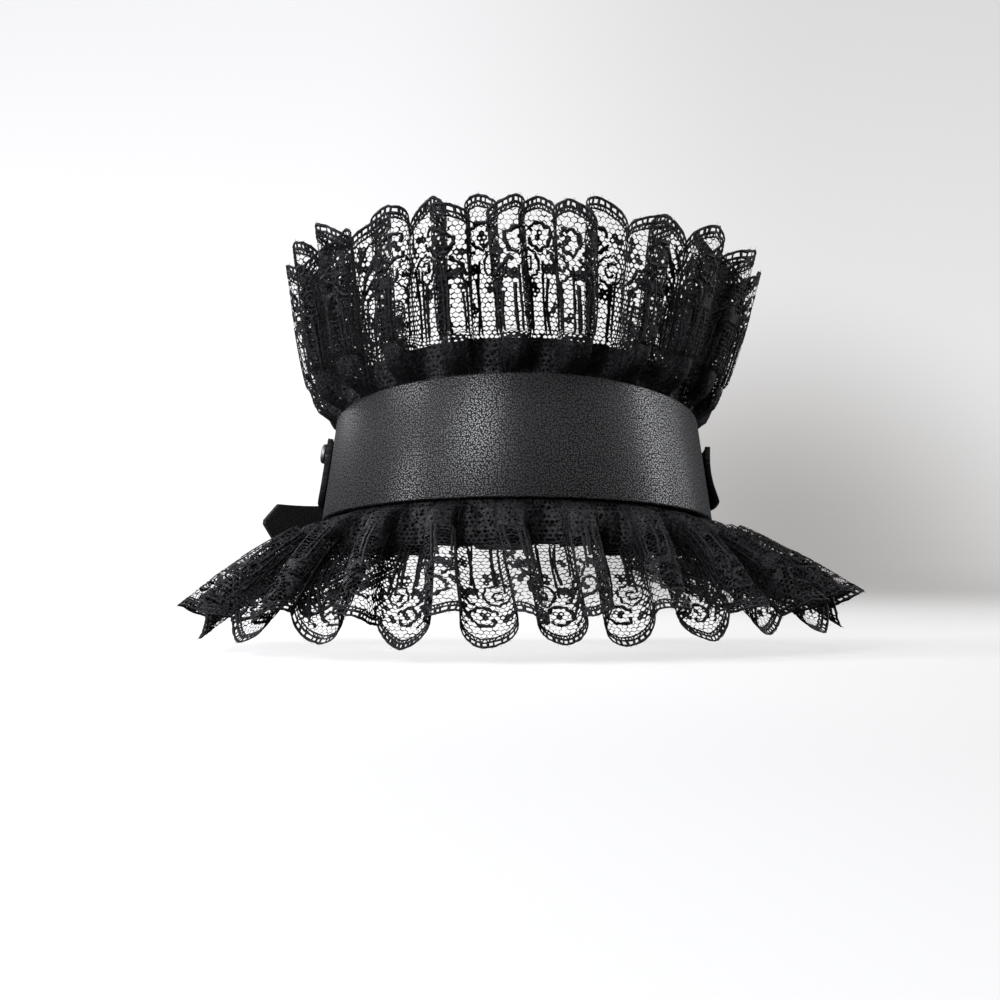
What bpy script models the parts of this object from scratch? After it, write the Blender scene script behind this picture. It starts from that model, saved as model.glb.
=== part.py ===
"""A lace choker: a leather band on a cloth stand, with a gathered lace ruffle above and below it.

Metres, +Z up. The band stands round the origin, its back is at -Y and its front fastening at +Y.
Angles round the neck are measured from the back, positive towards +X.
"""
from math import cos, pi, radians, sin, tan

import bmesh
import bpy
import numpy as np
from mathutils import Vector

MM = 0.001

# Ring of the neck, in millimetres
RING_RADIUS = 56.45
CONE_ANGLE = radians(8.7)
RING_RISE_AT_BACK = 11.1
BAND_MEAN_HEIGHT = 29.3
BAND_EXTRA_AT_BACK = 6.3
SEAM_GAP = 0.3

# Cloth and leather thicknesses, in millimetres
LEATHER = 1.8
LACE = 1.0
STAND_CLOTH = 1.2
STRAP = 1.6

# Middles of the layers, as distances out from the band's outer face
BAND_MIDDLE = -LEATHER / 2
LACE_MIDDLE = -LEATHER - SEAM_GAP - LACE / 2
STAND_MIDDLE = -LEATHER - 2 * SEAM_GAP - LACE - STAND_CLOTH / 2

# Ends of each layer at the open front, in degrees from the back
BAND_END = 166.0
STAND_END = 150.0
RING_COLUMNS = 96

# Stand above and below the leather
STAND_ABOVE = 10.7
STAND_BELOW_BACK = 12.8
STAND_BELOW_SIDE = 9.0
STAND_BELOW_FRONT = 2.0

# Lace strips
HEADING = 5.0
SEAM_CLEAR = 0.7
FOLD_SCALLOPS = 2
SCALLOP_DEPTH = 4.5
FOLD_COLUMNS = 12
LACE_ROWS = (-HEADING, SEAM_CLEAR, 6.0, 13.0, 24.0, 38.0)
UPPER_WIDTH = 53.0
LOWER_WIDTH = 56.0
GATHER_LENGTH = 14.0
GATHER_POWER = 1.6
WALK_STEPS = 24
STEEPEST_FOLD = 1.9
BESSEL_TERMS = 12

# Folds of the upper lace, from the left front end round the back to the right front end:
# crest angle at the seam, crest angle at the hem, flat length of lace up to the next crest
UPPER_FOLDS = (
    (-149.0, -149.0, 43.0),
    (-130.0, -128.0, 39.0),
    (-112.0, -112.0, 44.0),
    (-93.0, -93.0, 42.0),
    (-75.0, -72.0, 44.0),
    (-56.0, -54.0, 41.0),
    (-36.5, -34.0, 42.0),
    (-17.4, -16.6, 38.0),
    (-0.5, -3.5, 41.0),
    (17.0, 13.5, 44.0),
    (35.5, 34.0, 43.0),
    (54.0, 53.0, 42.0),
    (71.0, 72.0, 42.0),
    (88.0, 90.0, 39.0),
    (104.0, 105.0, 41.0),
    (119.0, 121.0, 38.0),
    (134.0, 135.0, 40.0),
    (149.0, 150.0, 0.0),
)

# Folds of the lower lace, in the same columns
LOWER_FOLDS = (
    (-149.0, -147.0, 41.0),
    (-129.0, -128.0, 44.0),
    (-111.0, -109.0, 42.0),
    (-92.0, -90.0, 43.0),
    (-74.0, -70.0, 44.0),
    (-56.0, -47.5, 42.0),
    (-38.0, -30.0, 44.0),
    (-20.3, -12.5, 43.0),
    (-2.1, 2.5, 40.0),
    (16.2, 13.5, 41.0),
    (35.9, 26.5, 44.0),
    (52.0, 43.5, 42.0),
    (67.0, 59.5, 43.0),
    (83.0, 74.5, 42.0),
    (100.0, 90.0, 44.0),
    (116.0, 108.0, 43.0),
    (133.0, 127.0, 42.0),
    (149.0, 145.0, 0.0),
)

# Lean of the lace away from the neck, in degrees: along the stand, and beyond it at back, side and front
UPPER_HOLD = 8.7
UPPER_LEAN_END = 10.0
UPPER_LEAN_RIGHT = 3.5
LOWER_HOLD = 6.5
LOWER_HOLD_BACK = 4.5
LOWER_LEAN_SIDE = 57.0
LOWER_LEAN_LESS_AT_BACK = 11.0
LOWER_LEAN_MORE_AT_FRONT = 17.0
LOWER_LEAN_RIGHT = 4.5
LEAN_BEND = 7.0

# Tabs and straps, angles counted on past the front so that the left side lies beyond 180
TAB_ANGLE = 84.0
TAB_TAPER_FROM = 99.0
TAB_TAPER_TO = 122.0
TAB_CORNER = 4.0
STRAP_HALF_HEIGHT = 6.0
STRAP_DROP = 3.5
STRAP_DROP_TO = 150.0
STRAP_ROWS = 5
STRAP_STEP = 1.8
FIRST_LAYER = SEAM_GAP + STRAP / 2
LAYER = SEAM_GAP + STRAP
LEAVE_ANGLE = 216.0

# Free end of the long strap: where it leaves it slopes down, and it levels off along its length
FREE_LENGTH = 52.0
FREE_START_SLOPE = -0.216
FREE_LEVELLING = 0.00323
POINT_LENGTH = 4.5
POINT_HALF_HEIGHT = 0.7

# The two tabs: half height, middle's rise above the band's middle line, and how far the lower and the
# upper edge stand off the band
LEFT_TAB = (9.9, 0.4, 0.2, 0.0)
RIGHT_TAB = (8.5, -0.6, 1.3, 1.0)

# Buckle and keeper
BAR_RADIUS = 1.1
PRONG_RADIUS = 0.9
HINGE_ANGLE = 192.5
FRONT_BAR_ANGLE = 175.5
HINGE_OUT = LAYER + SEAM_GAP + BAR_RADIUS
FRONT_BAR_OUT = HINGE_OUT + 0.7
WRAP_RADIUS = BAR_RADIUS + SEAM_GAP + STRAP / 2
WRAP_STEP = 20
FOLD_END_ANGLE = 206.5
BUCKLE_HALF_HEIGHT = 8.6
BUCKLE_CORNER = 2.2
CORNER_STEP = 30
KEEPER_ANGLES = (200.5, 203.0, 205.5)
KEEPER_THICKNESS = 1.2
KEEPER_SLACK = 0.4

# Way of the long strap past the buckle: angle, middle of the leather out from the band
LONG_STRAP_LAYERS = (
    (TAB_ANGLE, FIRST_LAYER),
    (176.0, FIRST_LAYER),
    (180.0, 2.0),
    (188.0, 5.8),
    (190.0, 6.9),
    (HINGE_ANGLE, 7.6),
    (195.0, 7.4),
    (200.0, FIRST_LAYER + 2 * LAYER + 0.2),
    (FOLD_END_ANGLE + 1.0, FIRST_LAYER + 2 * LAYER + 0.2),
    (LEAVE_ANGLE, FIRST_LAYER + LAYER + 0.6),
)

# Way of the short strap's end back from the hinge bar, in the same columns
FOLD_BACK_LAYERS = (
    (195.0, 5.3),
    (197.0, 4.2),
    (199.0, FIRST_LAYER + LAYER + 0.2),
    (202.0, FIRST_LAYER + LAYER),
    (FOLD_END_ANGLE, FIRST_LAYER + LAYER),
)

# Way of the prong from the strap's hole to its tip on the front bar, in the same columns
PRONG_WAY = (
    (186.0, 7.2),
    (183.0, 6.9),
    (179.0, 6.6),
    (FRONT_BAR_ANGLE, 6.4),
    (173.0, 6.0),
)

# Rivets
RIVET_RADIUS = 3.0
RIVET_HEIGHT = 1.3
RIVET_BEVEL = 0.8
RIVET_SIDES = 12
RIVETS = (("rivet_left", -91.5, 5.8), ("rivet_right", 101.0, 3.0))


def clear_scene():
    """Starts from a scene with no objects."""
    for item in list(bpy.data.objects):
        bpy.data.objects.remove(item, do_unlink=True)


def make_material(name, colour, roughness, metallic=0.0):
    material = bpy.data.materials.new(name)
    material.use_nodes = True
    shader = material.node_tree.nodes["Principled BSDF"]
    shader.inputs["Base Color"].default_value = (*colour, 1.0)
    shader.inputs["Roughness"].default_value = roughness
    shader.inputs["Metallic"].default_value = metallic
    material.diffuse_color = (*colour, 1.0)
    return material


def link_object(name, data, material):
    """Object of the given mesh or curve, in its own material."""
    data.materials.append(material)
    item = bpy.data.objects.new(name, data)
    bpy.context.collection.objects.link(item)
    return item


def sheet(name, grid, thickness, material, even=False):
    """A grid of points in millimetres, columns by rows, given its thickness on both sides."""
    columns, rows = grid.shape[:2]
    faces = []
    for column in range(columns - 1):
        for row in range(rows - 1):
            corner = column * rows + row
            faces.append((corner, corner + rows, corner + rows + 1, corner + 1))
    mesh = bpy.data.meshes.new(name)
    mesh.from_pydata((grid.reshape(-1, 3) * MM).tolist(), [], faces)
    mesh.shade_smooth()
    item = link_object(name, mesh, material)
    solidify = item.modifiers.new("Thickness", "SOLIDIFY")
    solidify.thickness = thickness * MM
    solidify.offset = 0.0
    solidify.use_even_offset = even
    return item


def bar(name, path, radius, closed, material):
    """A round bar along a path of points in millimetres."""
    curve = bpy.data.curves.new(name, "CURVE")
    curve.dimensions = "3D"
    curve.bevel_depth = radius * MM
    curve.bevel_resolution = 2
    curve.use_fill_caps = True
    spline = curve.splines.new("POLY")
    spline.points.add(len(path) - 1)
    for point, place in zip(spline.points, path):
        point.co = (*(place * MM), 1.0)
    spline.use_cyclic_u = closed
    return link_object(name, curve, material)


def band_half_height(angle):
    """Half height of the leather band, most at the back."""
    return (BAND_MEAN_HEIGHT + BAND_EXTRA_AT_BACK * np.cos(angle)) / 2


def ring_point(angle, height, out):
    """Point on the neck's cone: angle from the back, height from the band's middle line, distance out."""
    radius = RING_RADIUS - height * tan(CONE_ANGLE) + out * cos(CONE_ANGLE)
    level = RING_RISE_AT_BACK * np.cos(angle) + height + out * sin(CONE_ANGLE)
    return np.stack(np.broadcast_arrays(radius * np.sin(angle), -radius * np.cos(angle), level), axis=-1)


def smooth_step(value):
    value = np.clip(value, 0.0, 1.0)
    return value * value * (3 - 2 * value)


def bessel(order, value):
    """First terms of the Bessel function of the first kind, enough for folds up to a right angle."""
    total = np.zeros_like(value)
    term = (value / 2) ** order
    for step in range(1, order + 1):
        term = term / step
    for step in range(BESSEL_TERMS):
        total = total + term
        term = term * -(value / 2) ** 2 / ((step + 1) * (step + 1 + order))
    return total


def fold_slope(take_up):
    """Steepest slope of a fold, in radians, whose width is the given share of its own length."""
    slopes = np.linspace(0.0, STEEPEST_FOLD, 400)
    widths = bessel(0, slopes)
    return np.interp(take_up, widths[::-1], slopes[::-1])


def lace_lean(angle, reach, rising):
    """Lean of the inner folds away from the vertical, first along the stand and then beyond it."""
    if rising:
        hold = UPPER_HOLD
        start = -CONE_ANGLE
        end = np.radians(UPPER_LEAN_END + UPPER_LEAN_RIGHT * np.sin(angle))
    else:
        hold = LOWER_HOLD + LOWER_HOLD_BACK * np.maximum(np.cos(angle), 0.0)
        start = CONE_ANGLE
        right = LOWER_LEAN_RIGHT * np.maximum(np.sin(angle), 0.0)
        back = LOWER_LEAN_LESS_AT_BACK * np.maximum(np.cos(angle), 0.0)
        front = LOWER_LEAN_MORE_AT_FRONT * np.maximum(-np.cos(angle), 0.0)
        end = np.radians(LOWER_LEAN_SIDE + right - back + front)
    return start + (end - start) * smooth_step((reach - hold) / LEAN_BEND)


def lace_profile(angle, reach, rising):
    """Way that the inner folds go from the seam: distance out, distance along the neck, and lean."""
    out = 0.0
    along = 0.0
    for step in range(WALK_STEPS):
        lean = lace_lean(angle, reach * (step + 0.5) / WALK_STEPS, rising)
        out = out + np.sin(lean) / WALK_STEPS
        along = along + np.cos(lean) / WALK_STEPS
    return reach * out, reach * along, lace_lean(angle, reach, rising)


def lace_point(folds, rising, length, reach):
    """Points of a lace strip, for lengths along its heading and reaches out from the seam."""
    seam_angles, hem_angles, lengths = np.array(folds).T
    starts = np.concatenate([[0.0], np.cumsum(lengths[:-1])])
    fold = np.clip(np.searchsorted(starts, length, side="right") - 1, 0, len(folds) - 2)
    flat = lengths[fold]
    phase = 2 * pi * (length - starts[fold]) / flat
    drift = smooth_step(reach / (UPPER_WIDTH if rising else LOWER_WIDTH))
    left = np.radians(seam_angles[fold] + (hem_angles - seam_angles)[fold] * drift)
    right = np.radians(seam_angles[fold + 1] + (hem_angles - seam_angles)[fold + 1] * drift)
    out, along, lean = lace_profile(left + (right - left) * phase / (2 * pi), reach, rising)
    advance = (right - left) * (RING_RADIUS + out)
    gathered = (1 - np.exp(-np.maximum(reach - SEAM_CLEAR, 0.0) / GATHER_LENGTH)) ** GATHER_POWER
    worked = advance + np.maximum(flat - advance, 0.0) * gathered
    slope = fold_slope(advance / worked)
    first, second, third = (bessel(order, slope) * worked / (2 * pi) for order in (1, 2, 3))
    height = 2 * first * (1 + np.cos(phase)) + 2 / 3 * third * (1 + np.cos(3 * phase))
    shift = second * np.sin(2 * phase) / advance
    angle = left + (right - left) * (phase / (2 * pi) + shift)
    rise = 1.0 if rising else -1.0
    seam = ring_point(angle, rise * band_half_height(angle), LACE_MIDDLE)
    radial = np.stack([np.sin(angle), -np.cos(angle), np.zeros_like(angle)], axis=-1)
    upward = np.array((0.0, 0.0, rise))
    outward = radial * np.cos(lean)[..., None] - upward * np.sin(lean)[..., None]
    return seam + radial * out[..., None] + upward * along[..., None] + outward * height[..., None]


def lace_strip(name, folds, rising, material):
    """One gathered strip of lace as a thin wall, with a scallop on every outer and every inner fold."""
    width = UPPER_WIDTH if rising else LOWER_WIDTH
    starts = np.concatenate([[0.0], np.cumsum([row[2] for row in folds[:-1]])])
    turns = np.arange(FOLD_COLUMNS * (len(folds) - 1) + 1) / FOLD_COLUMNS
    lengths = np.interp(turns, np.arange(len(folds)), starts)
    across = (turns * FOLD_SCALLOPS + 0.5) % 1.0
    hem = width - SCALLOP_DEPTH * (2 * across - 1) ** 2
    reach = np.stack([np.full_like(hem, row) for row in LACE_ROWS] + [hem], axis=1)
    if not rising:
        reach = reach[:, ::-1]
    grid = lace_point(folds, rising, np.broadcast_to(lengths[:, None], reach.shape), reach)
    return sheet(name, grid, LACE, material)


def ring_strip(name, end, top, bottom, out, thickness, material):
    """A strip round the neck between two heights that are given for each angle."""
    angles = np.radians(np.linspace(-end, end, RING_COLUMNS + 1))
    heights = np.stack([bottom(angles), top(angles)], axis=1)
    return sheet(name, ring_point(angles[:, None], heights, out), thickness, material)


def band(material):
    """Leather band, high at the back and tapered to the front."""
    return ring_strip("band", BAND_END, band_half_height, lambda angle: -band_half_height(angle),
                      BAND_MIDDLE, LEATHER, material)


def stand(material):
    """Cloth stand behind the band, which shows above and below it."""
    def top(angle):
        return band_half_height(angle) + STAND_ABOVE

    def bottom(angle):
        back = (STAND_BELOW_BACK - STAND_BELOW_SIDE) * np.maximum(np.cos(angle), 0.0)
        front = (STAND_BELOW_SIDE - STAND_BELOW_FRONT) * np.maximum(-np.cos(angle), 0.0)
        return -band_half_height(angle) - STAND_BELOW_SIDE - back + front

    return ring_strip("stand", STAND_END, top, bottom, STAND_MIDDLE, STAND_CLOTH, material)


def degrees_from_back(angle):
    """Angle to the nearer side of the back, for angles counted on past the front too."""
    return np.abs((angle + 180.0) % 360.0 - 180.0)


def tab_taper(angle):
    """How far a tab has narrowed into its strap, from 0 to 1."""
    return smooth_step((degrees_from_back(angle) - TAB_TAPER_FROM) / (TAB_TAPER_TO - TAB_TAPER_FROM))


def tab_sizes(angle):
    """Half height, rise and stand-off of the lower and upper edge of the tab on each angle's side."""
    right = (np.sin(np.radians(angle)) > 0)[..., None]
    return np.moveaxis(np.where(right, RIGHT_TAB, LEFT_TAB), -1, 0)


def strap_height(angle):
    """Height of a strap's middle line on the band: near its middle on the tabs, lower towards the front."""
    angle = np.asarray(angle, float)
    dropped = (degrees_from_back(angle) - TAB_TAPER_FROM) / (STRAP_DROP_TO - TAB_TAPER_FROM)
    return tab_sizes(angle)[1] * (1 - tab_taper(angle)) - STRAP_DROP * smooth_step(dropped)


def strap_half(angle):
    """Half height of a strap: a tall tab with round corners that tapers to the narrow strap."""
    tall = tab_sizes(angle)[0]
    half = tall + (STRAP_HALF_HEIGHT - tall) * tab_taper(angle)
    from_end = np.radians(degrees_from_back(angle) - TAB_ANGLE) * RING_RADIUS
    corner = np.clip(1 - from_end / TAB_CORNER, 0.0, 1.0)
    return half - TAB_CORNER * (1 - np.sqrt(1 - corner ** 2))


def tab_flare(angle, height):
    """Extra distance out where a tab's edges stand off the band, for heights from its middle."""
    half, _, lower, upper = tab_sizes(angle)
    flare = np.where(height < 0, lower, upper)
    return flare * (1 - tab_taper(angle)) * (height / half) ** 2


def generatrix(angle):
    """Unit direction up the neck's cone."""
    return np.stack([-sin(CONE_ANGLE) * np.sin(angle), sin(CONE_ANGLE) * np.cos(angle),
                     np.full_like(angle, cos(CONE_ANGLE))], axis=-1)


def ring_strap(angle, out):
    """Rows of points across a strap that follows the band, for each angle and middle distance out."""
    turn = np.radians(angle)
    height = strap_half(angle)[:, None] * np.linspace(-1.0, 1.0, STRAP_ROWS)
    radial = np.stack([np.sin(turn), -np.cos(turn), np.zeros_like(turn)], axis=-1)
    middle = ring_point(turn, strap_height(angle), out)
    flare = tab_flare(angle[:, None], height)
    rise = generatrix(turn)[:, None] * height[..., None]
    return middle[:, None] + rise + radial[:, None] * flare[..., None]


def free_end(start, turn):
    """Rows of points across the long strap's free end, which leaves the band and droops."""
    up = np.array((0.0, 0.0, 1.0))
    heading = np.array((cos(turn), sin(turn), 0.0))
    walked = np.append(np.arange(STRAP_STEP, FREE_LENGTH - POINT_LENGTH, 2 * STRAP_STEP),
                       (FREE_LENGTH - POINT_LENGTH, FREE_LENGTH))[:, None]
    middle = start + heading * walked + up * (FREE_START_SLOPE * walked + FREE_LEVELLING * walked ** 2)
    across = up - heading * (FREE_START_SLOPE + 2 * FREE_LEVELLING * walked)
    across = across / np.linalg.norm(across, axis=1, keepdims=True)
    half = np.full_like(walked, STRAP_HALF_HEIGHT)
    half[-1] = POINT_HALF_HEIGHT
    height = half * np.linspace(-1.0, 1.0, STRAP_ROWS)
    return middle[:, None] + across[:, None] * height[..., None]


def strap_right(material):
    """Right tab and long strap, through the buckle and keeper to its free pointed end."""
    angle = np.arange(TAB_ANGLE, LEAVE_ANGLE + STRAP_STEP / 2, STRAP_STEP)
    knots, outs = np.array(LONG_STRAP_LAYERS).T
    held = ring_strap(angle, np.interp(angle, knots, outs))
    free = free_end(held[-1].mean(axis=0), radians(angle[-1]))
    return sheet("strap_right", np.concatenate([held, free]), STRAP, material, even=True)


def strap_left(material):
    """Left tab and short strap, which folds round the buckle's hinge bar and back on itself."""
    degrees_per_mm = 180.0 / pi / (RING_RADIUS + HINGE_OUT)
    run = np.arange(360.0 - TAB_ANGLE, HINGE_ANGLE, -STRAP_STEP)
    turns = np.radians(np.arange(-90, 90 + WRAP_STEP, WRAP_STEP))
    wrap = HINGE_ANGLE - WRAP_RADIUS * np.cos(turns) * degrees_per_mm
    back, back_out = np.array(FOLD_BACK_LAYERS).T
    angle = np.concatenate([run, wrap, back])
    out = np.concatenate([np.full_like(run, FIRST_LAYER), HINGE_OUT + WRAP_RADIUS * np.sin(turns), back_out])
    return sheet("strap_left", ring_strap(angle, out), STRAP, material, even=True)


def buckle_frame(material):
    """Rectangular wire frame with rounded corners, hinged in the short strap's fold."""
    middle = float(strap_height(HINGE_ANGLE))
    path = []
    for quarter, (side, rise) in enumerate(((1, 1), (-1, 1), (-1, -1), (1, -1))):
        for step in range(0, 90 + CORNER_STEP, CORNER_STEP):
            turn = radians(90 * quarter + step)
            height = middle + BUCKLE_HALF_HEIGHT * rise + BUCKLE_CORNER * (sin(turn) - rise)
            hinge = ring_point(radians(HINGE_ANGLE), height, HINGE_OUT)
            front = ring_point(radians(FRONT_BAR_ANGLE), height, FRONT_BAR_OUT)
            along = (hinge - front) / np.linalg.norm(hinge - front)
            path.append((hinge if side > 0 else front) + along * BUCKLE_CORNER * (cos(turn) - side))
    return bar("buckle_frame", path, BAR_RADIUS, True, material)


def buckle_prong(material):
    """Prong that comes up through the strap and rests on the front bar."""
    middle = float(strap_height(HINGE_ANGLE))
    path = [ring_point(radians(angle), middle, out) for angle, out in PRONG_WAY]
    return bar("buckle_prong", path, PRONG_RADIUS, False, material)


def keeper(material):
    """Leather loop over the folded straps, its ends sewn at the strap's edges."""
    side = STRAP_HALF_HEIGHT + SEAM_GAP + KEEPER_THICKNESS / 2
    top = SEAM_GAP + 3 * LAYER + KEEPER_SLACK + KEEPER_THICKNESS / 2
    outline = ((-side, SEAM_GAP), (-side, top), (side, top), (side, SEAM_GAP))
    grid = [[ring_point(radians(angle), strap_height(angle) + height, out) for height, out in outline]
            for angle in KEEPER_ANGLES]
    return sheet("keeper", np.array(grid), KEEPER_THICKNESS, material, even=True)


def rivet(name, angle, height, material):
    """Domed rivet cap that sits square on a tab, for a height from the tab's middle."""
    def surface(turn, rise):
        level = strap_height(turn) + rise
        return ring_point(radians(turn), level, SEAM_GAP + STRAP + tab_flare(np.asarray(turn), rise))

    form = bmesh.new()
    bmesh.ops.create_cone(form, cap_ends=True, segments=RIVET_SIDES, radius1=RIVET_RADIUS * MM,
                          radius2=RIVET_RADIUS * MM, depth=RIVET_HEIGHT * MM)
    rim = [edge for edge in form.edges if all(vert.co.z > 0 for vert in edge.verts)]
    bmesh.ops.bevel(form, geom=rim, offset=RIVET_BEVEL * MM, segments=2, profile=0.5, affect="EDGES")
    mesh = bpy.data.meshes.new(name)
    form.to_mesh(mesh)
    form.free()
    mesh.shade_smooth()
    beside = surface(angle + 1, height) - surface(angle - 1, height)
    upward = surface(angle, height + 1) - surface(angle, height - 1)
    out = Vector(np.cross(beside, upward)).normalized()
    item = link_object(name, mesh, material)
    item.location = Vector(surface(angle, height) * MM) + out * (SEAM_GAP + RIVET_HEIGHT / 2) * MM
    item.rotation_euler = out.to_track_quat("Z", "Y").to_euler()
    return item


def main():
    clear_scene()
    band(make_material("band_leather", (0.022, 0.023, 0.025), 0.42))
    stand(make_material("stand_cloth", (0.012, 0.012, 0.013), 0.9))
    lace_strip("ruffle_upper", UPPER_FOLDS, True, make_material("upper_lace", (0.010, 0.010, 0.011), 0.85))
    lace_strip("ruffle_lower", LOWER_FOLDS, False, make_material("lower_lace", (0.010, 0.010, 0.011), 0.85))
    strap_left(make_material("left_strap_leather", (0.012, 0.012, 0.013), 0.5))
    strap_right(make_material("right_strap_leather", (0.012, 0.012, 0.013), 0.5))
    keeper(make_material("keeper_leather", (0.012, 0.012, 0.013), 0.5))
    buckle_frame(make_material("frame_metal", (0.35, 0.35, 0.36), 0.3, 1.0))
    buckle_prong(make_material("prong_metal", (0.35, 0.35, 0.36), 0.3, 1.0))
    for name, angle, height in RIVETS:
        rivet(name, angle, height, make_material(f"{name}_metal", (0.4, 0.4, 0.41), 0.35, 1.0))


main()
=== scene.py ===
from math import cos, pi, radians, sin, tan

import bpy
import numpy as np
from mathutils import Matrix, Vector


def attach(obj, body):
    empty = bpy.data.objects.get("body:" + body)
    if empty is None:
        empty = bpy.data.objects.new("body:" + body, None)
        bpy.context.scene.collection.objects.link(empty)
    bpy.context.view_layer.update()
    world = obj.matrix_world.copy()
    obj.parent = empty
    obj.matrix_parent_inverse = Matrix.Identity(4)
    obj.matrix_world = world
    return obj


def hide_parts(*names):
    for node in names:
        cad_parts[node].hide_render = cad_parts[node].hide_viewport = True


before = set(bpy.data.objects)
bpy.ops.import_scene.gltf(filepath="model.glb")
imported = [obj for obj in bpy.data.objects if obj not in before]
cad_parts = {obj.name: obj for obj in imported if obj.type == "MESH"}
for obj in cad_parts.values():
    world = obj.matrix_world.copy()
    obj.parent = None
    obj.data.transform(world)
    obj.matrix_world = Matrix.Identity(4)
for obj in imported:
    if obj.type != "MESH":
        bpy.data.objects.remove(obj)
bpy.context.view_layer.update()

bl_info = {
    "name": "Lace choker",
    "version": (1, 0, 0),
    "blender": (4, 5, 0),
    "location": "View3D > Sidebar > Choker",
    "description": "Builds a leather choker with gathered lace ruffles",
    "category": "Add Mesh",
}

MM = 0.001

# Ring of the neck, in millimetres; angles are measured from the back, positive towards +X
RING_RADIUS = 56.45
CONE_ANGLE = radians(8.7)
RING_RISE_AT_BACK = 11.1
BAND_MEAN_HEIGHT = 29.3
BAND_EXTRA_AT_BACK = 6.3
BAND_BULGE = 0.021
LACE_MIDDLE = -2.6

# Scallops of the hem, in millimetres; their widths and depths wander a little from one to the next
FOLD_SCALLOPS = 2
SCALLOP_WIDTH = 20.5
SCALLOP_DEPTH = 7.0
SCALLOP_POWER = 1.5
FIRST_SCALLOP = 0.5
WIDTH_WANDERS = ((0.13, 2.9), (0.04, 7.7))
DEPTH_WANDER = 0.12
DEPTH_CHANGE = 2.1
MARKS_A_FOLD = 60
END_MARGIN = 0.2

# Folds, and how they spread out of the seam, in millimetres
SEAM_TUCK = 0.8
SEAM_CLEAR = 0.7
GATHER_LENGTH = 9.0
GATHER_POWER = 1.3
MOST_SPREAD = 0.85
FOLD_STANDS_OUT = 2.0
FOLD_FLATNESS = 1.2
FOLD_STEEPNESS = np.linspace(0.0, 2.5, 121)
FOLD_PHASES = np.linspace(0.0, 2 * pi, 193)
WALK_STEPS = 24
NORMAL_STEP = 0.2

# Small gathers at the seam, in millimetres: a barrel on each outer fold, and ripples between
BARREL_HEIGHT = 2.6
BARREL_POWER = 1.5
GATHERS_START = 3.0
GATHERS_FADE = 13.0
RIPPLE_HEIGHT = 0.8
RIPPLE_LENGTH = 5.3
RIPPLE_WANDER = 2.1
RIPPLE_CHANGE = 17.0

# Lean of the strips in degrees, and how far they follow the stand before it, in millimetres
LEAN_BEND = 7.0
UPPER_HOLD = 8.7
UPPER_LEAN = 10.0
UPPER_MORE_AT_RIGHT = 3.5
LOWER_HOLD = 6.5
LOWER_HOLD_MORE_AT_BACK = 4.5
LOWER_LEAN = 57.0
LOWER_LESS_AT_BACK = 11.0
LOWER_MORE_AT_FRONT = 17.0
LOWER_MORE_AT_RIGHT = 4.5

# Folds from the left front end round the back to the right front end:
# crest angle at the seam, crest angle at the hem, flat length of lace up to the next crest
UPPER_FOLDS = (
    (-149.0, -149.0, 43.0), (-130.0, -128.0, 39.0), (-112.0, -112.0, 44.0), (-93.0, -93.0, 42.0),
    (-75.0, -72.0, 44.0), (-56.0, -54.0, 41.0), (-36.5, -34.0, 42.0), (-17.4, -16.6, 38.0),
    (-0.5, -3.5, 41.0), (17.0, 13.5, 44.0), (35.5, 34.0, 43.0), (54.0, 53.0, 42.0),
    (71.0, 72.0, 42.0), (88.0, 90.0, 39.0), (104.0, 105.0, 41.0), (119.0, 121.0, 38.0),
    (134.0, 135.0, 40.0), (149.0, 150.0, 0.0),
)
LOWER_FOLDS = (
    (-149.0, -147.0, 41.0), (-129.0, -128.0, 44.0), (-111.0, -109.0, 42.0), (-92.0, -90.0, 43.0),
    (-74.0, -70.0, 44.0), (-56.0, -47.5, 42.0), (-38.0, -30.0, 44.0), (-20.3, -12.5, 43.0),
    (-2.1, 2.5, 40.0), (16.2, 13.5, 41.0), (35.9, 26.5, 44.0), (52.0, 43.5, 42.0),
    (67.0, 59.5, 43.0), (83.0, 74.5, 42.0), (100.0, 90.0, 44.0), (116.0, 108.0, 43.0),
    (133.0, 127.0, 42.0), (149.0, 145.0, 0.0),
)


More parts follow.
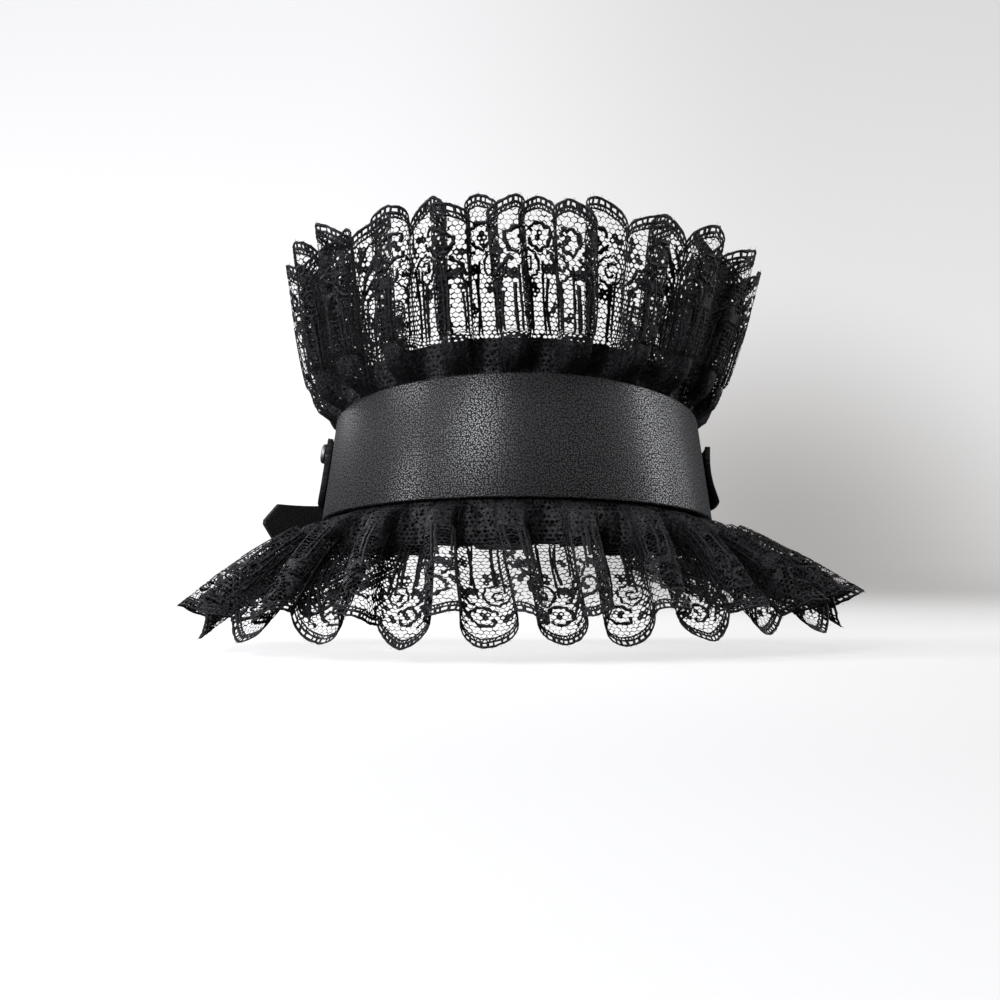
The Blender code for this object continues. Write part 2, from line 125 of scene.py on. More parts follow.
class Strip:
    """One strip of lace: its folds, flat width and the way it leans."""

    def __init__(self, name, folds, width, rising, inner_widening, stem_end):
        self.name = name
        self.stem_end = stem_end
        self.across, self.heights, self.take_up = fold_ways(inner_widening)
        self.folds = np.array(folds)
        self.width = width
        self.rising = rising
        self.length = float(self.folds[:, 2].sum())
        self.starts = np.concatenate([[0.0], np.cumsum(self.folds[:-1, 2])])
        self.scallops = FOLD_SCALLOPS * (len(folds) - 1) + 1
        turns = np.linspace(0.0, len(folds) - 1, MARKS_A_FOLD * len(folds))
        self.marks = np.interp(turns, np.arange(len(folds)), self.starts)
        self.passed = turns * FOLD_SCALLOPS + FIRST_SCALLOP
        for share, change in WIDTH_WANDERS:
            self.passed = self.passed + share * np.sin(change * turns)

    def scallop(self, length):
        """Number of the scallop at each length, and the share of it that is passed there."""
        passed = np.interp(length, self.marks, self.passed)
        number = np.clip(np.floor(passed), 0, self.scallops - 1)
        return number, passed - number

    def scallop_length(self, number, share):
        """Lengths along the strip at the given share of each numbered scallop."""
        return np.interp(number + share, self.passed, self.marks)

    def phase(self, length):
        """Fold that each length lies in, and the angle passed there from crest to crest."""
        fold = np.clip(np.searchsorted(self.starts, length, side="right") - 1, 0, len(self.folds) - 2)
        return fold, 2 * pi * (length - self.starts[fold]) / self.folds[fold, 2]

    def hem(self, number, share):
        """Reach of the scalloped hem at the given share of each numbered scallop."""
        rise = SCALLOP_DEPTH * (1 - DEPTH_WANDER + DEPTH_WANDER * np.sin(DEPTH_CHANGE * number))
        return self.width - SCALLOP_DEPTH + rise * (1 - np.abs(2 * share - 1) ** SCALLOP_POWER)

    def hem_at(self, length):
        """Reach of the scalloped hem at lengths along the strip."""
        return self.hem(*self.scallop(length))

    def inside(self, length):
        """Lengths held a little inside the strip's two ends."""
        return np.clip(length, END_MARGIN, self.length - END_MARGIN)

    def lean(self, angle, reach):
        """Lean of the inner folds away from the vertical, first along the stand and then beyond it."""
        if self.rising:
            hold, start = UPPER_HOLD, -CONE_ANGLE
            end = np.radians(UPPER_LEAN + UPPER_MORE_AT_RIGHT * np.sin(angle))
        else:
            back, front = np.maximum(np.cos(angle), 0.0), np.maximum(-np.cos(angle), 0.0)
            hold, start = LOWER_HOLD + LOWER_HOLD_MORE_AT_BACK * back, CONE_ANGLE
            end = np.radians(LOWER_LEAN - LOWER_LESS_AT_BACK * back + LOWER_MORE_AT_FRONT * front
                             + LOWER_MORE_AT_RIGHT * np.maximum(np.sin(angle), 0.0))
        return start + (end - start) * smooth_step((reach - hold) / LEAN_BEND)

    def profile(self, angle, reach):
        """Way that the inner folds go from the seam: distance out, distance along the neck, and lean."""
        out = 0.0
        along = 0.0
        for step in range(WALK_STEPS):
            lean = self.lean(angle, reach * (step + 0.5) / WALK_STEPS)
            out = out + np.sin(lean) / WALK_STEPS
            along = along + np.cos(lean) / WALK_STEPS
        return reach * out, reach * along, self.lean(angle, reach)

    def point(self, length, reach):
        """Points of the strip in millimetres, for lengths along its heading and reaches from the seam."""
        seam_angles, hem_angles, lengths = self.folds.T
        fold, phase = self.phase(length)
        flat = lengths[fold]
        drift = hem_angles - seam_angles
        share = smooth_step(reach / self.width)
        left = np.radians(seam_angles[fold] + drift[fold] * share)
        right = np.radians(seam_angles[fold + 1] + drift[fold + 1] * share)
        out, along, lean = self.profile(left + (right - left) * phase / (2 * pi), reach)
        advance = (right - left) * (RING_RADIUS + out)
        gathered = (1 - np.exp(-np.maximum(reach - SEAM_CLEAR, 0.0) / GATHER_LENGTH)) ** GATHER_POWER
        worked = advance + np.maximum(flat - advance, 0.0) * gathered
        phase = phase + np.clip(flat / worked - 1, 0.0, MOST_SPREAD) / 2 * np.sin(2 * phase)
        steepness = np.interp(advance / worked, self.take_up[::-1], FOLD_STEEPNESS[::-1])
        angle = left + (right - left) * fold_value(self.across, steepness, phase) * worked / advance
        height = worked * fold_value(self.heights, steepness, phase) + FOLD_STANDS_OUT * gathered
        height = height + seam_gathers(length, reach, phase)
        rise = 1.0 if self.rising else -1.0
        seam = ring_point(angle, rise * band_half_height(angle), LACE_MIDDLE)
        radial = np.stack([np.sin(angle), -np.cos(angle), np.zeros_like(angle)], axis=-1)
        upward = np.array((0.0, 0.0, rise))
        outward = radial * np.cos(lean)[..., None] - upward * np.sin(lean)[..., None]
        return seam + radial * out[..., None] + upward * along[..., None] + outward * height[..., None]

    def frame(self, length, reach):
        """Points of the strip and the unit normals there."""
        step = NORMAL_STEP
        along = self.point(length + step, reach) - self.point(length - step, reach)
        across = self.point(length, reach + step) - self.point(length, reach - step)
        return self.point(length, reach), unit(np.cross(along, across))


def unit(vectors):
    """Vectors of length 1 in the same directions."""
    return vectors / np.maximum(np.linalg.norm(vectors, axis=-1, keepdims=True), 1e-9)


def smooth_step(value):
    """Smooth rise from 0 to 1."""
    value = np.clip(value, 0.0, 1.0)
    return value * value * (3 - 2 * value)


def seam_gathers(length, reach, phase):
    """Small gathers that stand out of the seam and die away along the lace, in millimetres."""
    rise = np.clip((reach - SEAM_CLEAR) / GATHERS_START, 0.0, 1.0)
    rise = rise * np.exp(-(np.maximum(reach, 0.0) / GATHERS_FADE) ** 2)
    barrel = BARREL_HEIGHT * (0.5 + 0.5 * np.cos(phase)) ** BARREL_POWER
    turn = 2 * pi * length / RIPPLE_LENGTH + RIPPLE_WANDER * np.sin(length / RIPPLE_CHANGE)
    return rise * (barrel + RIPPLE_HEIGHT * (0.5 + 0.5 * np.sin(turn)))


def fold_ways(inner_widening):
    """Ways of a fold of unit length, one row for each steepness: share passed across, height, and take-up.

    The cloth's lean stays small on the outer and inner faces and is steepest between them.
    """
    wall = np.sin(FOLD_PHASES + inner_widening * np.sin(FOLD_PHASES))
    lean = FOLD_STEEPNESS[:, None] * wall * np.abs(wall) ** FOLD_FLATNESS
    ways = []
    for run in (np.cos(lean), -np.sin(lean)):
        middles = (run[:, 1:] + run[:, :-1]) / 2 / (len(FOLD_PHASES) - 1)
        ways.append(np.concatenate([np.zeros((len(run), 1)), np.cumsum(middles, axis=1)], axis=1))
    across, height = ways
    return across, height - height.min(axis=1, keepdims=True), across[:, -1]


def fold_value(table, steepness, phase):
    """Value of a table of fold ways between its rows and columns."""
    row = np.clip(steepness / FOLD_STEEPNESS[1], 0, len(FOLD_STEEPNESS) - 1.001)
    column = np.clip(phase / FOLD_PHASES[1], 0, len(FOLD_PHASES) - 1.001)
    top, left = row.astype(int), column.astype(int)
    down, right = row - top, column - left
    upper = table[top, left] * (1 - right) + table[top, left + 1] * right
    lower = table[top + 1, left] * (1 - right) + table[top + 1, left + 1] * right
    return upper * (1 - down) + lower * down


def band_half_height(angle):
    """Half of the leather band's height, which is greatest at the back."""
    return (BAND_MEAN_HEIGHT + BAND_EXTRA_AT_BACK * np.cos(angle)) / 2


def ring_point(angle, height, out):
    """Point on the neck's cone: angle from the back, height from the band's middle line, distance out."""
    radius = RING_RADIUS - height * tan(CONE_ANGLE) + out * cos(CONE_ANGLE)
    level = RING_RISE_AT_BACK * np.cos(angle) + height + out * sin(CONE_ANGLE)
    return np.stack(np.broadcast_arrays(radius * np.sin(angle), -radius * np.cos(angle), level), axis=-1)


UPPER = Strip("upper", UPPER_FOLDS, width=53.0, rising=True, inner_widening=0.0, stem_end=11.0)
LOWER = Strip("lower", LOWER_FOLDS, width=56.0, rising=False, inner_widening=0.3, stem_end=14.0)


class MeshParts:
    """Points and faces of one piece, gathered part by part."""

    def __init__(self):
        self.points = []
        self.faces = []
        self.count = 0

    def add(self, points, *face_groups):
        """Adds one part, with its faces numbered from its own first point."""
        self.points.append(points.reshape(-1, 3))
        for faces in face_groups:
            self.faces.append(np.asarray(faces) + self.count)
        self.count += len(self.points[-1])

    def piece(self, name, material):
        """Makes one object of all the parts."""
        mesh = bpy.data.meshes.new(name)
        faces = [face for group in self.faces for face in group.tolist()]
        mesh.from_pydata((np.concatenate(self.points) * MM).tolist(), [], faces)
        mesh.materials.append(material)
        item = bpy.data.objects.new(name, mesh)
        bpy.context.collection.objects.link(item)
        return item


# Motif of one scallop, in millimetres: x from the scallop's middle, y in from the scallop's tip.
# Every fold has two scallops; a part is worked in the outer one, the inner one or both.
# Each raised outline is a row of points with the width of its cord.
OUTLINES = (
    ("both", 1.15, ((2.6, 11.6), (2.6, 9.6), (0.8, 9.6), (-0.9, 9.6), (-2.4, 10.9), (-3.3, 11.4),
                    (-3.3, 13.8), (-2.4, 15.1), (-1.0, 16.6), (0.8, 16.6), (1.8, 15.4), (3.3, 15.2),
                    (3.3, 13.8))),
    ("both", 0.8, ((4.0, 16.6), (5.8, 17.4), (7.0, 19.2), (7.4, 21.2), (6.4, 23.6), (4.0, 25.0),
                   (1.7, 23.8), (0.8, 21.4), (1.2, 19.2), (2.4, 17.4), (4.0, 16.6))),
    ("outer", 0.95, ((2.4, 19.6), (2.8, 21.8), (3.9, 20.2), (5.0, 21.8), (5.6, 19.6))),
    ("inner", 0.9, ((5.2, 19.4), (3.6, 19.2), (2.8, 20.8), (3.4, 22.4), (5.0, 22.0))),
    ("both", 1.2, ((-1.8, 17.9), (-3.2, 17.9), (-4.0, 19.3), (-4.8, 19.3), (-5.6, 20.7), (-6.4, 22.1),
                   (-8.0, 23.5))),
    ("both", 0.9, ((-4.0, 21.9), (-4.8, 23.3), (-6.0, 25.6))),
    ("both", 0.9, ((6.9, 23.6), (7.8, 25.4), (8.6, 28.0))),
    ("both", 0.9, ((9.4, 8.0), (8.6, 10.0), (8.4, 12.0), (9.6, 14.0))),
    ("inner", 1.2, ((-8.2, 30.0), (-7.6, 24.0), (-6.6, 19.0), (-5.0, 15.0), (-3.6, 12.6))),
    ("inner", 0.9, ((-9.3, 28.0), (-8.9, 21.0), (-7.9, 15.0), (-6.2, 10.8), (-4.2, 8.6))),
    ("outer", 0.9, ((9.0, 27.0), (8.6, 22.0), (7.2, 17.4), (6.4, 14.6))),
)
OUTLINE_SPACING = 0.8
OUTLINE_WANDER = 0.2
OUTLINE_WIDTHS = (0.6, 1.4)
OUTLINE_DEPTH = 0.3

# Outlines are drawn towards the net's own steps along and across the strip
STEP_PULL = 0.7
STEP_ALONG = 0.8
STEP_ACROSS = 1.37

# Close-worked places: end points of a stroke and its half width
BLOTS = (
    ("both", -4.2, 21.6, -1.6, 22.6, 1.2), ("both", -5.2, 15.6, -4.6, 16.6, 0.6),
    ("both", -7.4, 10.6, -7.4, 13.4, 0.6), ("both", -8.8, 15.2, -7.4, 16.2, 0.9),
    ("both", 7.8, 15.2, 8.6, 15.4, 0.7), ("inner", 5.0, 11.4, 6.2, 12.4, 0.7),
    ("both", 10.2, 17.4, 10.2, 20.8, 0.9), ("outer", -7.0, 25.6, -5.4, 26.2, 0.7),
    ("inner", 2.2, 26.6, 2.2, 29.0, 0.5), ("both", 4.2, 26.4, 4.2, 29.4, 0.5),
    ("outer", 5.2, 12.2, 6.4, 13.2, 0.7), ("outer", 1.0, 12.4, 1.8, 13.4, 0.5),
    ("inner", 0.6, 12.0, 0.6, 14.0, 0.5), ("outer", 1.2, 34.4, 2.4, 35.2, 0.6),
    ("inner", -3.6, 33.0, -3.0, 34.6, 0.6),
)
BLOT_MARGIN = 0.55
BLOT_EDGE = 0.6
BLOT_CLOSING = 0.92

# Stems from the motif up to the stand's edge: x at the motif, y there, x at the stand, width
STEMS = (
    (-10.1, 7.0, -10.2, 1.2), (-6.3, 24.5, -6.9, 0.9), (-5.0, 27.5, -5.5, 0.8), (-1.9, 25.0, -2.1, 1.0),
    (-0.5, 20.0, -0.6, 0.8), (3.9, 24.5, 3.7, 1.1), (5.6, 21.0, 5.2, 0.8), (8.2, 20.0, 7.2, 0.9),
)
STEM_POINTS = 20
STEM_BOW = 0.5
STEM_WANDER = 0.07
STEM_WIDTHS = (0.8, 1.2)
STEM_NARROWEST = 0.55
STEM_FADE = 4.0
STEM_DEPTH = 0.08
STEM_MORE_DEPTH = 0.28

# Border: inset and width of each cord, and the ladder with its zigzag between them
BORDER_CORDS = ((0.4, 0.9), (2.2, 0.8), (3.5, 0.6))
BORDER_WANDER = 0.08
BORDER_WIDTHS = (0.75, 1.25)
BORDER_DEPTH = 0.5
SCALLOP_SAMPLES = 24
LADDER_HOLES = 14
LADDER_TOP = 0.4
LADDER_FOOT = 2.3
ZIGZAG_FOOT = 3.6
LADDER_WANDER = 0.14
LADDER_SLANT = 0.2
LADDER_WIDTHS = (0.5, 1.0)
LADDER_DEPTH = 0.35
LADDER_END = 0.3
ZIGZAG_WIDTH = 0.6

# Loose hairs at the hem
HAIRS_A_SCALLOP = 12
HAIR_END = 0.5
HAIR_LEAN = 0.5
HAIR_LENGTHS = (0.3, 1.1)
HAIR_ROOT = 0.2
HAIR_WIDTH = 0.07

# Net, in millimetres: how far it goes, and how near the seam it lies crowded
NET_SPARE = 1.0
NET_END = 0.4
BORDER_OVERLAP = 0.35
SEAM_CLOSED = 14.0
SEAM_OPENING = 6.0

# Net, as shares of a cell: the rise of a row, and how its holes wander, stretch and close
HEXAGON_RISE = 0.866
WANDER_ALONG = 0.045
WANDER_ACROSS = 0.05
WANDER_MORE_AT_SEAM = 0.09
HOLE_WANDER = 0.02
HOLE_LIMITS = (0.05, 0.95)
HOLE_WIDE = 1.06
HOLE_TALL = 1.02
SEAM_WIDER = 0.04
SEAM_SHORTER = 0.12
SEAM_SHARE = 0.8
LEAST_SHOULDER = 0.2
SEAM_CLOSING = 0.3
CREST_CLOSING = 0.45
WALL_CLOSING = 0.5
WALL_CLOSING_AT_SIDES = 0.3
WALL_OPENING_AT_HEM = 0.6

NET_SEED = 7
LACEWORK_SEED = 11


def mirrored(number):
    """Side that each scallop's motif is turned to, changing at every other cusp."""
    return np.where((number + 1) // 2 % 2 == 0, 1.0, -1.0)


def part_worked(where, number):
    """Whether a part of the motif is worked in each numbered scallop."""
    outer = number % FOLD_SCALLOPS == 0
    return {"outer": outer, "inner": ~outer, "both": outer | ~outer}[where]


def motif_length(strip, where, x):
    """Lengths along the strip of motif points, one row for each scallop that has them."""
    number = np.arange(strip.scallops)
    number = number[part_worked(where, number)][:, None]
    return strip.inside(strip.scallop_length(number, 0.5 + mirrored(number) * x / SCALLOP_WIDTH))


def closeness(strip, length, reach):
    """How closely the net is worked at each place, from 0 in plain net to 1 where it is filled."""
    number, share = strip.scallop(length)
    x = mirrored(number) * (share - 0.5) * SCALLOP_WIDTH
    y = strip.width - reach
    worked = np.zeros_like(x)
    for where, x0, y0, x1, y1, half in BLOTS:
        run = np.array((x1 - x0, y1 - y0))
        along = np.clip(((x - x0) * run[0] + (y - y0) * run[1]) / (run @ run), 0, 1)
        distance = np.hypot(x - x0 - along * run[0], y - y0 - along * run[1])
        filled = np.clip((half + BLOT_MARGIN - distance) / BLOT_EDGE, 0, 1)
        worked = np.maximum(worked, filled * part_worked(where, number))
    return worked


def hole_share(strip, length, reach, crowded, hole, noise):
    """Share of its cell that each hole takes, less where the net is filled, gathered or turned edge on."""
    share = hole * (1 - closeness(strip, length, reach) * BLOT_CLOSING)
    share = share + noise.normal(0.0, HOLE_WANDER, length.shape)
    share = share * (1 - SEAM_CLOSING * crowded * noise.uniform(0.0, 2.0, length.shape))
    fold, phase = strip.phase(length)
    share = share * (1 - CREST_CLOSING * crowded * (0.5 + 0.5 * np.cos(phase)) ** 2)
    behind = np.maximum(np.cos(np.radians(strip.folds[fold, 0])), 0.0)
    closing = WALL_CLOSING * (WALL_CLOSING_AT_SIDES + (1 - WALL_CLOSING_AT_SIDES) * behind)
    return share * (1 - closing * np.sin(phase) ** 4 * (1 - WALL_OPENING_AT_HEM * reach / strip.width))


def hole_corners(strip, length, reach, share, pitch):
    """Flat places of the six corners of each hole, from the top one round to the right."""
    near_seam = 1 - smooth_step(reach / (SEAM_SHARE * strip.width))
    wide = np.clip(share * (HOLE_WIDE + SEAM_WIDER * near_seam), *HOLE_LIMITS)[..., None]
    tall = np.clip(share * (HOLE_TALL - SEAM_SHORTER * near_seam), *HOLE_LIMITS)[..., None]
    turns = np.radians((90, 30, -30, -90, -150, 150))
    peak = 2 / 3 * tall
    shoulder = np.maximum(peak - 1 / 3, LEAST_SHOULDER * tall)
    rises = np.concatenate([peak, shoulder, -shoulder, -peak, -shoulder, shoulder], axis=-1)
    along = length[..., None] + wide * (np.cos(turns) * pitch / 2 / cos(radians(30)))
    across = reach[..., None] + HEXAGON_RISE * pitch * rises
    return np.stack([along, across], -1).reshape(-1, 2)


def shifted(grid, up, right):
    """The grid read some rows up and some columns to the right, and -1 past its edges."""
    moved = np.full_like(grid, -1)
    height, width = grid.shape
    moved[:height - up, max(0, -right):width - max(0, right)] = grid[up:, max(0, right):width + min(0, right)]
    return moved


def above(grid, right):
    """The grid read at the upper right or upper left cell; odd rows lie half a cell further along."""
    odd = (np.arange(len(grid)) % 2 == 1)[:, None]
    return np.where(odd, shifted(grid, 1, right), shifted(grid, 1, right - 1))


def net_part(strip, columns, hole, fin):
    """Hexagon net with real holes: each cell's hole is a smaller hexagon, and threads join the cells."""
    noise = np.random.default_rng(NET_SEED)
    pitch = strip.length / columns
    rows = int((strip.width + NET_SPARE) / (pitch * HEXAGON_RISE))
    row, column = np.meshgrid(np.arange(rows), np.arange(columns), indexing="ij")
    length = (column + 0.25 + 0.5 * (row % 2)) * pitch
    reach = -SEAM_TUCK + (row + 0.5) * (pitch * HEXAGON_RISE)
    crowded = smooth_step((SEAM_CLOSED + noise.normal(0.0, 1.0, length.shape) - reach) / SEAM_OPENING)
    wander = WANDER_MORE_AT_SEAM * crowded
    length = length + noise.normal(0.0, pitch, length.shape) * (WANDER_ALONG + wander)
    reach = reach + noise.normal(0.0, pitch, reach.shape) * (WANDER_ACROSS + wander)
    border = strip.hem_at(np.clip(length, 0, strip.length)) - BORDER_CORDS[-1][0]
    kept = (reach < border + BORDER_OVERLAP) & (length > NET_END) & (length < strip.length - NET_END)
    flat = hole_corners(strip, length, reach, hole_share(strip, length, reach, crowded, hole, noise), pitch)

    number = (np.arange(rows * columns).reshape(rows, columns) * 6)[..., None] + np.arange(6)
    top, upper_right, lower_right, bottom, lower_left, upper_left = (number[..., k] for k in range(6))
    present = kept.astype(int)
    beside = kept & (shifted(present, 0, 1) == 1)
    above_right = kept & (above(present, 1) == 1)
    above_left = kept & (above(present, 0) == 1)
    next_lower_left, next_upper_left = shifted(lower_left, 0, 1), shifted(upper_left, 0, 1)
    quads = np.concatenate([
        np.stack([lower_right, next_lower_left, next_upper_left, upper_right], -1)[beside],
        np.stack([upper_right, above(bottom, 1), above(lower_left, 1), top], -1)[above_right],
        np.stack([top, above(lower_right, 0), above(bottom, 0), upper_left], -1)[above_left],
    ])
    knots = np.concatenate([
        np.stack([top, above(lower_left, 1), above(lower_right, 0)], -1)[above_right & above_left],
        np.stack([upper_right, next_upper_left, above(bottom, 1)], -1)[beside & above_right],
    ])
    used = np.zeros(len(flat), bool)
    used[quads] = True
    used[knots] = True
    renumber = np.cumsum(used) - 1
    parts = MeshParts()
    parts.add(strip.point(*flat[used].T), renumber[quads], renumber[knots])
    sides = []
    for left, right in ((upper_right, next_upper_left), (lower_right, next_lower_left)):
        place, normal = strip.frame(*((flat[left[beside]] + flat[right[beside]]) / 2).T)
        sides.append((place - normal * fin / 2, place + normal * fin / 2))
    fins = np.stack([*sides[0], *sides[1][::-1]], axis=1)
    parts.add(fins, np.arange(4 * len(fins)).reshape(-1, 4))
    return parts, polygon_area(flat[quads]) + polygon_area(flat[knots])


def polygon_area(corners):
    """Total area of flat polygons given by their corners."""
    x, y = corners[..., 0], corners[..., 1]
    return float(abs((x * np.roll(y, -1, 1) - np.roll(x, -1, 1) * y).sum(1)).sum() / 2)


def cord_part(parts, strip, length, reach, width, depth):
    """Raised threads, one for each row of points, with a lozenge section of the given width and depth."""
    run = unit(np.gradient(np.stack([length, reach], -1), axis=1))
    width = np.broadcast_to(width, length.shape)
    depth = np.broadcast_to(depth, length.shape)[..., None]
    side = np.stack([-run[..., 1], run[..., 0]], -1) * width[..., None] / 2
    place, normal = strip.frame(length, reach)
    left = strip.point(length + side[..., 0], reach + side[..., 1])
    right = strip.point(length - side[..., 0], reach - side[..., 1])
    ring = np.stack([left, place + normal * depth / 2, right, place - normal * depth / 2], axis=2)
    cords, steps = length.shape
    first = (np.arange(cords)[:, None] * steps + np.arange(steps - 1)[None, :])[..., None] * 4
    turn = np.arange(4)
    after = (turn + 1) % 4
    faces = np.stack([first + turn, first + after, first + 4 + after, first + 4 + turn], -1)
    parts.add(ring, faces.reshape(-1, 4))


def thread_way(points, spacing):
    """Points along the straight lines between the given ones, about the given distance apart."""
    points = np.array(points)
    knots = np.concatenate([[0.0], np.cumsum(np.linalg.norm(np.diff(points, axis=0), axis=1))])
    at = np.linspace(0.0, knots[-1], max(3, int(round(knots[-1] / spacing)) + 1))
    return np.stack([np.interp(at, knots, points[:, 0]), np.interp(at, knots, points[:, 1])], axis=1)


def stepped(value, step):
    """Values drawn most of the way to the nearest whole step."""
    return value + STEP_PULL * (np.round(value / step) * step - value)


def border_part(parts, strip, noise):
    """Scalloped edge: its cords, the ladder between the outer two and the zigzag inside it."""
    number = np.arange(strip.scallops)[:, None]
    samples = np.linspace(0.0, 1.0, SCALLOP_SAMPLES + 1)
    length = strip.scallop_length(number, samples)
    hem = strip.hem(number, samples)
    for inset, width in BORDER_CORDS:
        wander = noise.normal(0.0, BORDER_WANDER, length.shape)
        wander[:, (0, -1)] = 0.0
        widths = width * noise.uniform(*BORDER_WIDTHS, length.shape)
        cord_part(parts, strip, length, hem - inset + wander, widths, BORDER_DEPTH)
    rung = strip.scallop_length(number, (np.arange(LADDER_HOLES) + 0.5) / LADDER_HOLES).ravel()
    rung = np.clip(rung + noise.normal(0.0, LADDER_WANDER, rung.shape), LADDER_END, strip.length - LADDER_END)
    edge = strip.hem_at(rung)
    ladder = np.stack([rung, rung + noise.normal(0.0, LADDER_SLANT, rung.shape)], 1)
    widths = noise.uniform(*LADDER_WIDTHS, rung.shape)[:, None]
    reach = np.stack([edge - LADDER_TOP, edge - LADDER_FOOT], 1)
    cord_part(parts, strip, ladder, reach, widths, LADDER_DEPTH)
    half = SCALLOP_WIDTH / LADDER_HOLES / 2
    zigzag = strip.inside(np.stack([rung - half, rung, rung + half], 1))
    reach = np.stack([edge - ZIGZAG_FOOT, edge - LADDER_FOOT, edge - ZIGZAG_FOOT], 1)
    cord_part(parts, strip, zigzag, reach, ZIGZAG_WIDTH, LADDER_DEPTH)


def outline_part(parts, strip, noise):
    """Raised outlines of the motif, a little stepped as worked lace is."""
    for where, width, points in OUTLINES:
        x, y = thread_way(points, OUTLINE_SPACING).T
        length = motif_length(strip, where, x)
        length = stepped(length + noise.normal(0.0, OUTLINE_WANDER, length.shape), STEP_ALONG)
        reach = stepped(strip.width - y + noise.normal(0.0, OUTLINE_WANDER, length.shape), STEP_ACROSS)
        widths = width * noise.uniform(*OUTLINE_WIDTHS, length.shape)
        cord_part(parts, strip, strip.inside(length), reach, widths, OUTLINE_DEPTH)


def stem_part(parts, strip, noise):
    """Stems from the motif to the stand, where they narrow and sink into the net."""
    for x0, y0, x1, width in STEMS:
        length = motif_length(strip, "both", np.linspace(x0, x1, STEM_POINTS))
        bow = noise.normal(0.0, STEM_BOW, (len(length), 1)) * np.sin(np.linspace(0.0, pi, STEM_POINTS))
        length = length + bow + noise.normal(0.0, STEM_WANDER, length.shape)
        reach = np.broadcast_to(np.linspace(strip.width - y0, strip.stem_end, STEM_POINTS), length.shape)
        raised = smooth_step((reach - strip.stem_end) / STEM_FADE)
        widths = width * noise.uniform(*STEM_WIDTHS, length.shape)
        widths = widths * (STEM_NARROWEST + (1 - STEM_NARROWEST) * raised)
        cord_part(parts, strip, strip.inside(length), reach, widths, STEM_DEPTH + STEM_MORE_DEPTH * raised)


def hair_part(parts, strip, noise):
    """Loose hairs that stand past the hem."""
    start = noise.uniform(HAIR_END, strip.length - HAIR_END, strip.scallops * HAIRS_A_SCALLOP)
    lean = noise.normal(0.0, HAIR_LEAN, start.shape)
    out = noise.uniform(*HAIR_LENGTHS, start.shape)
    share = np.array((0.0, 0.5, 1.0))
    along = start[:, None] + lean[:, None] * share
    reach = strip.hem_at(start)[:, None] + out[:, None] * share - HAIR_ROOT
    cord_part(parts, strip, along, reach, HAIR_WIDTH, HAIR_WIDTH)


def lacework_part(strip):
    """Everything that is worked on one strip's net."""
    parts = MeshParts()
    noise = np.random.default_rng(LACEWORK_SEED)
    for worked in (border_part, outline_part, stem_part, hair_part):
        worked(parts, strip, noise)
    return parts


def maths(operation, swapped=False):
    """Operator of a socket that works out its sum in a node of its own."""
    def worked_out(self, other):
        first, second = (other, self) if swapped else (self, other)
        return self.graph.node("ShaderNodeMath", {"operation": operation}, {0: first, 1: second})
    return worked_out


class Socket:
    """A node's output, with the operators that shader sums are written in."""

    def __init__(self, graph, output):
        self.graph = graph
        self.output = output

    __add__ = maths("ADD")
    __sub__ = maths("SUBTRACT")
    __rsub__ = maths("SUBTRACT", swapped=True)
    __mul__ = maths("MULTIPLY")
    __truediv__ = maths("DIVIDE")
    __pow__ = maths("POWER")


class Graph:
    """Nodes of one material around its main shader, whose own sockets take the plain values."""

    def __init__(self, name, colour, values):
        self.material = bpy.data.materials.new(name)
        self.material.use_nodes = True
        self.tree = self.material.node_tree
        self.shader = self.tree.nodes["Principled BSDF"]
        for socket, value in {"Base Color": (*colour, 1.0), **values}.items():
            self.shader.inputs[socket].default_value = value
        self.material.diffuse_color = (*colour, 1.0)

    def node(self, kind, settings, inputs, output=0):
        """A new node of a type, with its settings and the values or links of its sockets."""
        made = self.tree.nodes.new(kind)
        for name, value in settings.items():
            setattr(made, name, value)
        for name, value in inputs.items():
            if isinstance(value, Socket):
                self.tree.links.new(value.output, made.inputs[name])
            else:
                made.inputs[name].default_value = value
        return Socket(self, made.outputs[output])

    def feed(self, name, value):
        self.tree.links.new(value.output, self.shader.inputs[name])

    def place(self, scale=1.0):
        """Object coordinates in millimetres, scaled."""
        place = self.node("ShaderNodeTexCoord", {}, {}, "Object")
        return self.node("ShaderNodeVectorMath", {"operation": "SCALE"}, {0: place, "Scale": scale / MM})

    def noise(self, place, scale, detail, output="Fac"):
        inputs = {"Vector": place, "Scale": scale, "Detail": detail}
        return self.node("ShaderNodeTexNoise", {}, inputs, output)

    def split(self, vector):
        """The three coordinates of a vector."""
        first = self.node("ShaderNodeSeparateXYZ", {}, {0: vector})
        return tuple(Socket(self, output) for output in first.output.node.outputs)

    def mix(self, factor, first, second):
        """Blend of two colours, each plain or the output of another node."""
        first, second = (part if isinstance(part, Socket) else (*part, 1.0) for part in (first, second))
        return self.node("ShaderNodeMix", {"data_type": "RGBA"}, {"Factor": factor, 6: first, 7: second}, 2)

    def ramp(self, value, low, high):
        """Smooth rise from 0 at the low value to 1 at the high one."""
        return self.node("ShaderNodeMapRange", {"interpolation_type": "SMOOTHSTEP"},
                         {"Value": value, "From Min": low, "From Max": high}, "Result")

    def bump(self, height, strength, distance):
        """Relief of the given height, with the distance in millimetres."""
        inputs = {"Strength": strength, "Distance": distance * MM, "Height": height}
        self.feed("Normal", self.node("ShaderNodeBump", {}, inputs))


def shade(colour, times):
    """A lighter or darker shade of a colour."""
    return tuple(times * part for part in colour)


# Looks: a noise is its scale and detail, and a relief its strength and its depth in millimetres
THREAD = {"Roughness": 0.6, "Specular IOR Level": 0.15}
FIBRES_A_MM = 1.8
FIBRE_NOISE = (1.0, 1.0)
FIBRE_RANGE = (0.43, 0.68)
FIBRE_TONES_AND_GLINTS = (0.4, 4.4)
FIBRE_RELIEF = (0.6, 0.1)


